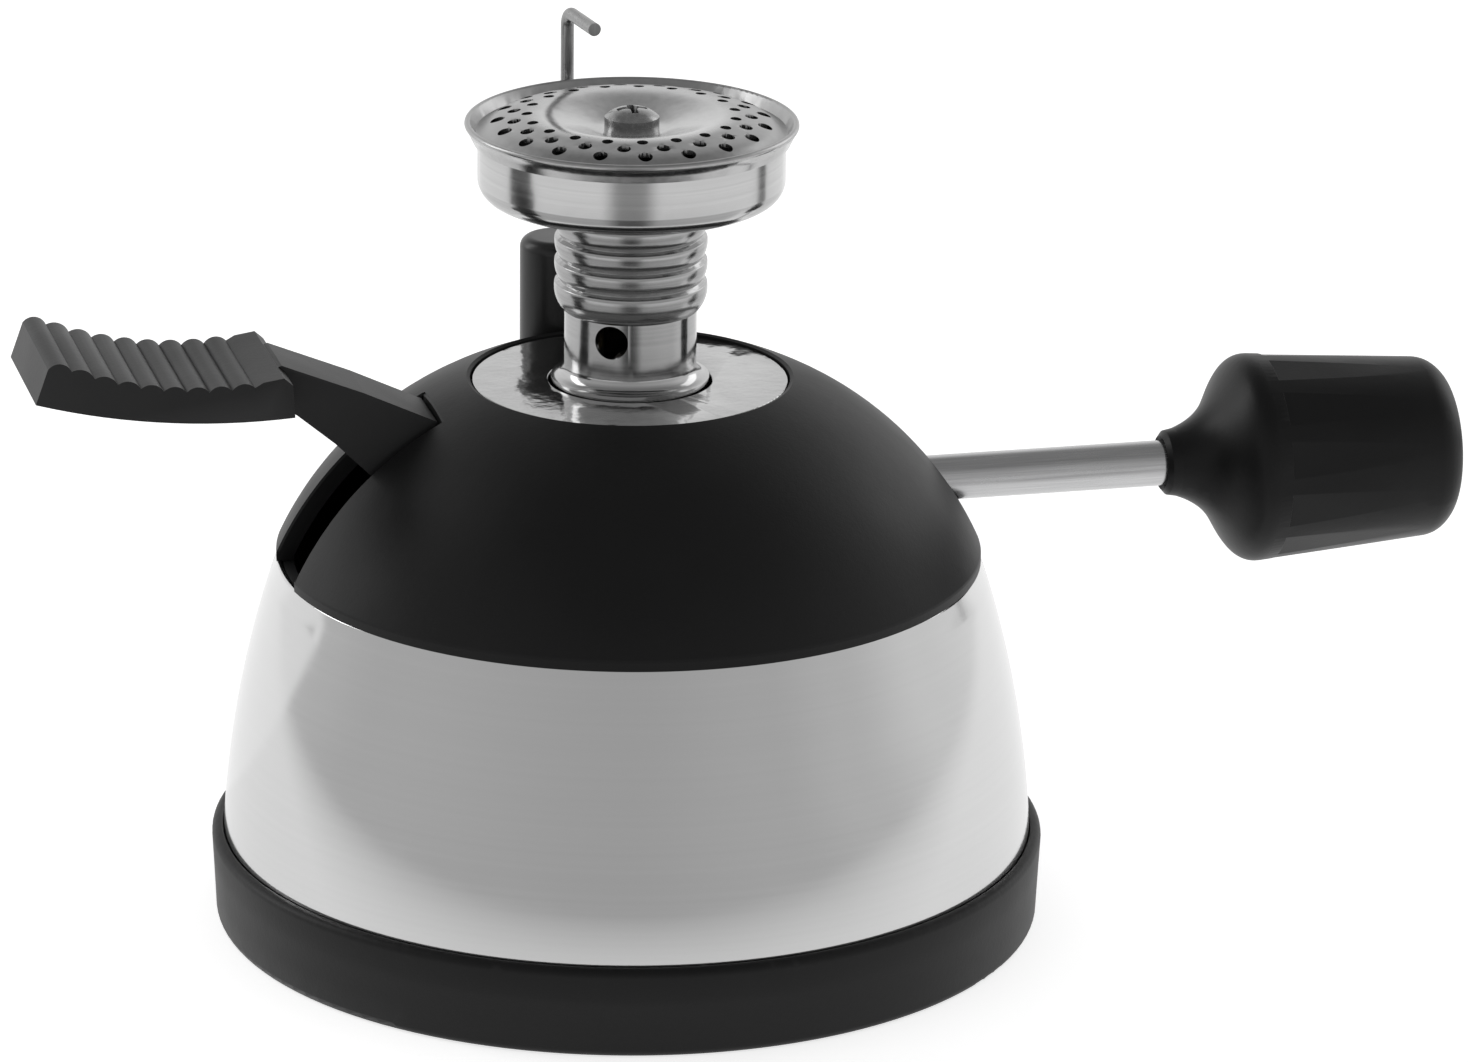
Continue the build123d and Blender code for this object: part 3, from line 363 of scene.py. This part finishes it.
heatBlack = {"tone": (0.012, 0.012, 0.012), "dim": 0.5, "roughness": 0.8, "depth": 0.00003,
             "scale": 5200, "sheen": 0.0}
sealRubber = {"tone": (0.03, 0.03, 0.03), "dim": 0.7, "roughness": 0.62, "depth": 0.00002,
              "scale": 2600, "sheen": 0.15}
leadSleeve = {"tone": (0.45, 0.035, 0.025), "dim": 0.75, "roughness": 0.42, "depth": 0.00001,
              "scale": 1600, "sheen": 0.1}
wickFelt = {"tone": (0.80, 0.76, 0.68), "dim": 0.6, "roughness": 0.9, "depth": 0.0002,
            "scale": 1800, "sheen": 0.5}
zinc = {"tone": (0.62, 0.63, 0.65), "dim": 0.8, "spangle": 320, "smoothest": 0.28, "roughest": 0.46,
        "dentScale": 900, "dentDepth": 0.00001, "dentBump": 0.5}

finish = {
    "black_moulding": mouldedPlastic("housingPlastic", housingPlastic),
    "lever_moulding": mouldedPlastic("leverPlastic", leverPlastic),
    "knob_moulding": mouldedPlastic("knobPlastic", knobPlastic),
    "post_ceramic": mouldedPlastic("glazedPost", glazedPost),
    "igniter_case": mouldedPlastic("igniterPlastic", igniterPlastic),
    "polished_skirt": polishedMetal("skirtMetal", skirtMetal),
    "bright_head": polishedMetal("tubeMetal", tubeMetal),
    "fin_metal": polishedMetal("finMetal", finMetal),
    "cup_metal": polishedMetal("cupMetal", cupMetal),
    "cap_metal": heatDulled("capMetal", capMetal),
    "plate_metal": polishedMetal("plateMetal", plateMetal),
    "screw_metal": polishedMetal("screwMetal", screwMetal),
    "spark_wire": polishedMetal("sparkWire", sparkWire),
    "hole_shade_brass": polishedMetal("holeShadeBrass", holeShadeBrass),
    "heat_black": softFinish("heatBlack", heatBlack),
    "rod_steel": polishedMetal("rodMetal", rodMetal),
    "tank_shell": polishedMetal("tankMetal", tankMetal),
    "valve_brass": polishedMetal("brassTurned", brass),
    "spring_steel": polishedMetal("springMetal", springMetal),
    "pressed_steel": zincPlate("zincPlate", zinc),
    "seal_rubber": softFinish("sealRubber", sealRubber),
    "lead_sleeve": softFinish("leadSleeve", leadSleeve),
    "wick_felt": softFinish("wickFelt", wickFelt),
}
print("burner: finishes mixed,", len(finish))

nodeSlot = {row["node"]: row["material_slot"] for row in frame["record"]["subparts"]}


def paint(obj, node, finishName=None):
    # the slot stays the record's own; the finish may be another
    slotName = nodeSlot[node]
    obj.data.materials.clear()
    obj.data.materials.append(finish[finishName or slotName])
    return slotName


# the gas jet and cap post take the near-black brass, which paints the shade inside the cap's hole
ownFinish = {"electrode_wire": "spark_wire", "flame_gauze": "heat_black", "gas_jet": "hole_shade_brass",
             "cap_post": "hole_shade_brass"}

for node, obj in nodes.items():
    paint(obj, node, ownFinish.get(node))


def standFor(obj, node, finishName=None):
    # a finished piece takes the place of its plain solid
    paint(obj, node, finishName)
    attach(obj, nodeBody(node))
    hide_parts(node)
    return obj


def newPiece(name, bm, smoothAngle=35):
    mesh = bpy.data.meshes.new(name)
    bmesh.ops.recalc_face_normals(bm, faces=bm.faces)
    bm.to_mesh(mesh)
    bm.free()
    mesh.shade_smooth()
    mesh.set_sharp_from_angle(angle=math.radians(smoothAngle))
    obj = bpy.data.objects.new(name, mesh)
    scene.collection.objects.link(obj)
    return obj


def turnedMesh(profile, steps):
    # profile is a closed loop of (radius, height) in millimetres
    bm = bmesh.new()
    rings = []
    for i in range(steps):
        angle = 2 * math.pi * i / steps
        c, s = math.cos(angle) * mm, math.sin(angle) * mm
        rings.append([bm.verts.new((r * c, r * s, z * mm)) for r, z in profile])
    count = len(profile)
    for i in range(steps):
        here, there = rings[i], rings[(i + 1) % steps]
        for k in range(count):
            n = (k + 1) % count
            bm.faces.new((here[k], there[k], there[n], here[n]))
    return bm


def arcPoints(centre, radius, fromDeg, toDeg, count):
    out = []
    for angle in ramp(math.radians(fromDeg), math.radians(toDeg), count):
        out.append((centre[0] + radius * math.cos(angle), centre[1] + radius * math.sin(angle)))
    return out


def bowPoints(start, middle, end, count):
    # points on the circle through three points
    ax, ay = start
    bx, by = middle
    cx, cy = end
    d = 2 * (ax * (by - cy) + bx * (cy - ay) + cx * (ay - by))
    a2 = ax * ax + ay * ay
    b2 = bx * bx + by * by
    c2 = cx * cx + cy * cy
    ux = (a2 * (by - cy) + b2 * (cy - ay) + c2 * (ay - by)) / d
    uy = (a2 * (cx - bx) + b2 * (ax - cx) + c2 * (bx - ax)) / d
    radius = math.hypot(ax - ux, ay - uy)
    first = math.degrees(math.atan2(ay - uy, ax - ux))
    last = math.degrees(math.atan2(cy - uy, cx - ux))
    return arcPoints((ux, uy), radius, first, last, count)


def brokenEdges(name, node, look, finishName=None):
    # the solid's own faces, with every hard edge rounded a little
    bm = bmesh.new()
    bm.from_mesh(nodes[node].data)
    bmesh.ops.remove_doubles(bm, verts=bm.verts, dist=weldGap)
    flat = math.radians(look["flatAngle"])
    bmesh.ops.dissolve_limit(bm, angle_limit=flat, verts=bm.verts, edges=bm.edges)
    obj = newPiece(name, bm, look["hardAngle"])
    bevel = obj.modifiers.new("brokenEdge", "BEVEL")
    bevel.width = look["edge"] * mm
    bevel.segments = look["segments"]
    bevel.limit_method = "ANGLE"
    bevel.angle_limit = math.radians(look["hardAngle"])
    bevel.use_clamp_overlap = True
    bevel.harden_normals = True
    return standFor(obj, node, finishName)


# skirt: one spun shell with a rolled top edge and a hem

# millimetres; the three counts are the points along the outside, the inside and a quarter of the lip
skirt = {"footRadius": 45.84, "footZ": 4.1, "hemZ": (6.0, 8.0), "hemRound": 0.1, "kneeZ": 10.0,
         "topRadius": 39.6, "topZ": 42.1, "bulge": 1.17, "wall": 0.6, "edgeRound": 0.22,
         "steps": 288, "outsideCount": 28, "insideCount": 14, "lipCount": 5, "smoothAngle": 50}


def makeSkirt(look):
    foot, footZ, knee = look["footRadius"], look["footZ"], look["kneeZ"]
    top, topZ, wall = look["topRadius"], look["topZ"], look["wall"]
    lipRound, hemRound = look["edgeRound"], look["hemRound"]
    middle = ((foot + top) / 2 + look["bulge"], (knee + topZ) / 2)
    outside = bowPoints((foot, knee), middle, (top, topZ), look["outsideCount"])[:-2]
    insideMiddle = (middle[0] - wall, middle[1])
    inside = bowPoints((top - wall, topZ), insideMiddle, (foot - wall, knee), look["insideCount"])[1:]
    lipZ = topZ - lipRound
    lip = arcPoints((top - lipRound, lipZ), lipRound, 0, 90, look["lipCount"])
    lip += arcPoints((top - wall + lipRound, lipZ), lipRound, 90, 180, look["lipCount"])
    profile = [(foot, footZ + hemRound)]
    profile += [(foot, z) for z in look["hemZ"]]
    profile += outside + lip + inside
    profile += [(foot - wall, footZ + hemRound), (foot - wall + hemRound, footZ), (foot - hemRound, footZ)]
    return newPiece("skirtSpun", turnedMesh(profile, look["steps"]), look["smoothAngle"])


standFor(makeSkirt(skirt), "skirt_shell")
print("burner: skirt spun")

# pieces whose hard edges are rounded a little

edgeLooks = {
    "moulded": {"edge": 0.26, "segments": 3, "flatAngle": 0.6, "hardAngle": 28},
    "knob": {"edge": 0.3, "segments": 3, "flatAngle": 0.3, "hardAngle": 9},
    "ring": {"edge": 0.3, "segments": 3, "flatAngle": 0.2, "hardAngle": 32},
    "plate": {"edge": 0.12, "segments": 2, "flatAngle": 0.3, "hardAngle": 35},
    "screw": {"edge": 0.12, "segments": 2, "flatAngle": 0.3, "hardAngle": 35},
    "pressed": {"edge": 0.07, "segments": 2, "flatAngle": 0.2, "hardAngle": 40},
    "turned": {"edge": 0.14, "segments": 2, "flatAngle": 0.2, "hardAngle": 40},
}

roundedPieces = (
    ("leverMoulded", "ignition_lever", "moulded", "lever_moulding"),
    ("knobMoulded", "control_knob", "knob", None),
    ("footRingMoulded", "base_ring", "ring", None),
    ("topPlatePolished", "top_plate", "plate", "plate_metal"),
    ("capPressed", "burner_cap", "pressed", "cap_metal"),
    ("capScrewHead", "cap_screw", "screw", "screw_metal"),
    ("cupSpun", "burner_cup", "turned", "cup_metal"),
    ("finsTurned", "fin_sleeve", "turned", "fin_metal"),
    ("tubeTurned", "mixing_tube", "turned", None),
)

for pieceName, node, edgeLook, finishName in roundedPieces:
    brokenEdges(pieceName, node, edgeLooks[edgeLook], finishName)
print("burner: edges broken")

# springs, each with its joint, the end that stays put, and the travel in millimetres
springs = (
    {"name": "igniterSpring", "node": "piezo_spring", "joint": "plunger_travel", "fixedEnd": 0,
     "travel": 3.4, "smoothAngle": 50},
    {"name": "fillerSpring", "node": "fill_valve_spring", "joint": "filler_push", "fixedEnd": 1,
     "travel": 2.0, "smoothAngle": 50},
)


def makeSpring(look):
    bm = bmesh.new()
    bm.from_mesh(nodes[look["node"]].data)
    bmesh.ops.remove_doubles(bm, verts=bm.verts, dist=weldGap)
    spring = newPiece(look["name"], bm, look["smoothAngle"])
    standFor(spring, look["node"])
    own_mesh(spring)


for springLook in springs:
    makeSpring(springLook)

print("burner: springs wound")

floorLook = {"size": 9.0, "cells": 8, "tone": (0.88, 0.88, 0.88), "dim": 0.99, "fibreScale": 30,
             "roughness": 0.8, "gloss": 0.1, "glow": 0.70}


def makeFloor(look):
    bm = bmesh.new()
    cells = look["cells"]
    bmesh.ops.create_grid(bm, x_segments=cells, y_segments=cells, size=look["size"] / 2)
    floor = newPiece("floor", bm)
    mat, tree, shader, coords = startFinish("floorPaper")
    fibre = addNoise(tree, coords.outputs["Object"], look["fibreScale"], 4)
    dark = scaled(look["tone"], look["dim"])
    tree.links.new(addTone(tree, fibre, dark, look["tone"]), shader.inputs["Base Color"])
    shader.inputs["Roughness"].default_value = look["roughness"]
    shader.inputs["Specular IOR Level"].default_value = look["gloss"]
    shader.inputs["Emission Color"].default_value = (1, 1, 1, 1)
    shader.inputs["Emission Strength"].default_value = look["glow"]
    floor.data.materials.append(mat)


makeFloor(floorLook)

# room tone round the burner: share of a turn (a half faces the camera, more is to its right), level
roomTone = {"strength": 1.3, "turn": 103.2,
            "stops": ((0.00, 0.72), (0.157, 0.74), (0.163, 0.50), (0.180, 0.50), (0.184, 0.78), (0.189, 0.78),
                      (0.194, 0.46), (0.28, 0.41), (0.50, 0.36), (0.62, 0.40), (0.69, 0.46), (0.78, 0.60),
                      (0.90, 0.72), (1.00, 0.72)),
            "overhead": 0.20, "overheadFrom": 0.38, "overheadTo": 0.80}


def aboutTurn(tree, vector):
    # the place in the room's own directions, its share of a turn, and its height
    turn = tree.nodes.new("ShaderNodeMapping")
    turn.inputs["Rotation"].default_value = (0, 0, math.radians(roomTone["turn"]))
    tree.links.new(vector, turn.inputs["Vector"])
    split = tree.nodes.new("ShaderNodeSeparateXYZ")
    tree.links.new(turn.outputs["Vector"], split.inputs["Vector"])
    angle = tree.nodes.new("ShaderNodeMath")
    angle.operation = "ARCTAN2"
    tree.links.new(split.outputs["Y"], angle.inputs[0])
    tree.links.new(split.outputs["X"], angle.inputs[1])
    share = addRange(tree, angle.outputs[0], 0, 1, -math.pi, math.pi)
    return turn.outputs["Vector"], share, split.outputs["Z"]


def addStops(tree, value, stops):
    ramps = tree.nodes.new("ShaderNodeValToRGB")
    ramps.color_ramp.interpolation = "EASE"
    marks = ramps.color_ramp.elements
    while len(marks) > 1:
        marks.remove(marks[-1])
    marks[0].position = stops[0][0]
    marks[0].color = grey(stops[0][1])
    for place, level in stops[1:]:
        marks.new(place).color = grey(level)
    tree.links.new(value, ramps.inputs["Fac"])
    return ramps.outputs["Color"]


def makeRoom(look):
    world = bpy.data.worlds.new("studio")
    scene.world = world
    world.use_nodes = True
    tree = world.node_tree
    back = tree.nodes["Background"]
    coords = tree.nodes.new("ShaderNodeTexCoord")
    _, share, height = aboutTurn(tree, coords.outputs["Generated"])
    up = addRange(tree, height, 0, 1, look["overheadFrom"], look["overheadTo"])
    walls = addStops(tree, share, look["stops"])
    tree.links.new(mixTones(tree, up, walls, grey(look["overhead"])), back.inputs["Color"])
    back.inputs["Strength"].default_value = look["strength"]


makeRoom(roomTone)

# cards that only show in the metal: they stand for the dim room in front of the table and its pale top
lowCard = {"name": "lowCard", "height": 0.006, "near": 0.048, "far": 6.0, "span": 180, "count": 91,
           "strength": 1.3,
           "stops": ((0.00, 0.72), (0.188, 0.72), (0.195, 0.46), (0.28, 0.41), (0.50, 0.36), (0.62, 0.40),
                     (0.69, 0.46), (0.78, 0.60), (0.90, 0.72), (1.00, 0.72)),
           "paleShift": 0.15, "paleFrom": 0.188, "paleTo": 0.255, "paleLevel": 0.80, "paleShare": 0.8}
highCard = {"name": "highCard", "height": 0.0445, "near": 0.047, "far": 0.30, "span": 150, "count": 91,
            "gap": (86, 114), "gapNear": 0.092, "strength": 1.0,
            "stops": ((0.00, 0.88), (0.245, 0.80), (0.262, 0.62), (0.267, 0.06), (0.277, 0.06), (0.283, 0.55),
                      (0.44, 0.50), (0.484, 0.10), (0.516, 0.10), (0.56, 0.50), (0.70, 0.60), (0.76, 0.80),
                      (1.00, 0.88)),
            "outerFrom": 0.118, "outerTo": 0.132,
            "outerStops": ((0.00, 0.95), (0.222, 0.95), (0.234, 0.13), (0.282, 0.16), (0.292, 0.95),
                           (0.44, 0.95), (0.480, 0.36), (0.520, 0.36), (0.56, 0.92), (0.785, 0.95),
                           (0.800, 0.16), (0.812, 0.16), (0.822, 0.95), (1.00, 0.95))}


def makeCard(look):
    bm = bmesh.new()
    rows = []
    gap = look.get("gap", (0, 0))
    for degrees in ramp(-look["span"], look["span"], look["count"]):
        near = look["gapNear"] if gap[0] < degrees < gap[1] else look["near"]
        angle = math.radians(degrees - roomTone["turn"])
        c, s = math.cos(angle), math.sin(angle)
        rows.append([bm.verts.new((r * c, r * s, look["height"])) for r in (near, look["far"])])
    for a, b in zip(rows, rows[1:]):
        bm.faces.new((a[0], a[1], b[1], b[0]))
    card = newPiece(look["name"], bm)
    if card.data.polygons[0].normal.z < 0:
        card.data.flip_normals()
    mat, tree, _, coords = startFinish(look["name"] + "Paper")
    turned, share, _ = aboutTurn(tree, coords.outputs["Object"])
    level = addStops(tree, share, look["stops"])
    if "outerStops" in look:
        outer = addRange(tree, flatLength(tree, turned), 0, 1, look["outerFrom"], look["outerTo"])
        level = mixTones(tree, outer, level, addStops(tree, share, look["outerStops"]))
    else:
        distance = flatLength(tree, turned, look["paleShift"])
        pale = addRange(tree, distance, look["paleShare"], 0, look["paleFrom"], look["paleTo"])
        level = mixTones(tree, pale, level, grey(look["paleLevel"]))
    glow = tree.nodes.new("ShaderNodeEmission")
    tree.links.new(level, glow.inputs["Color"])
    glow.inputs["Strength"].default_value = look["strength"]
    clear = tree.nodes.new("ShaderNodeBsdfTransparent")
    geometry = tree.nodes.new("ShaderNodeNewGeometry")
    upper = tree.nodes.new("ShaderNodeMixShader")  # only the card's upper side glows
    tree.links.new(geometry.outputs["Backfacing"], upper.inputs[0])
    tree.links.new(glow.outputs[0], upper.inputs[1])
    tree.links.new(clear.outputs[0], upper.inputs[2])
    tree.links.new(upper.outputs[0], tree.nodes["Material Output"].inputs["Surface"])
    card.data.materials.append(mat)
    card.visible_camera = False
    card.visible_diffuse = False
    card.visible_shadow = False
    card.visible_transmission = False


for cardLook in (lowCard, highCard):
    makeCard(cardLook)

lampAim = (0, 0, 0.05)
softBoxes = (
    {"name": "keyBox", "place": (-0.85, 0.55, 0.55), "size": (0.35, 0.8), "watts": 2.3},
    {"name": "sideBox", "place": (0.95, 0.45, 0.5), "size": (0.5, 0.8), "watts": 1.3},
)


def addSoftBox(look):
    light = bpy.data.lights.new(look["name"], "AREA")
    light.shape = "RECTANGLE"
    light.size, light.size_y = look["size"]
    light.energy = look["watts"]
    lamp = bpy.data.objects.new(look["name"], light)
    scene.collection.objects.link(lamp)
    lamp.location = look["place"]
    aim = Vector(lampAim) - lamp.location
    lamp.rotation_euler = aim.to_track_quat("-Z", "Y").to_euler()


for box in softBoxes:
    addSoftBox(box)

cameraLook = {"place": (-0.1883, -0.8029, 0.3230), "turn": -14.02, "tilt": 71.36, "roll": 0.68,
              "lens": 189.7, "sensor": 36.0, "farClip": 30}


def placeCamera(look):
    data = bpy.data.cameras.new("camera")
    data.lens = look["lens"]
    data.sensor_width = look["sensor"]
    data.clip_end = look["farClip"]
    camera = bpy.data.objects.new("camera", data)
    scene.collection.objects.link(camera)
    turn = Matrix.Rotation(math.radians(look["turn"]), 4, "Z")
    tilt = Matrix.Rotation(math.radians(look["tilt"]), 4, "X")
    roll = Matrix.Rotation(math.radians(look["roll"]), 4, "Z")
    camera.matrix_world = Matrix.Translation(look["place"]) @ turn @ tilt @ roll
    scene.camera = camera


placeCamera(cameraLook)
scene.view_settings.view_transform = "Standard"
print("burner: stage set")
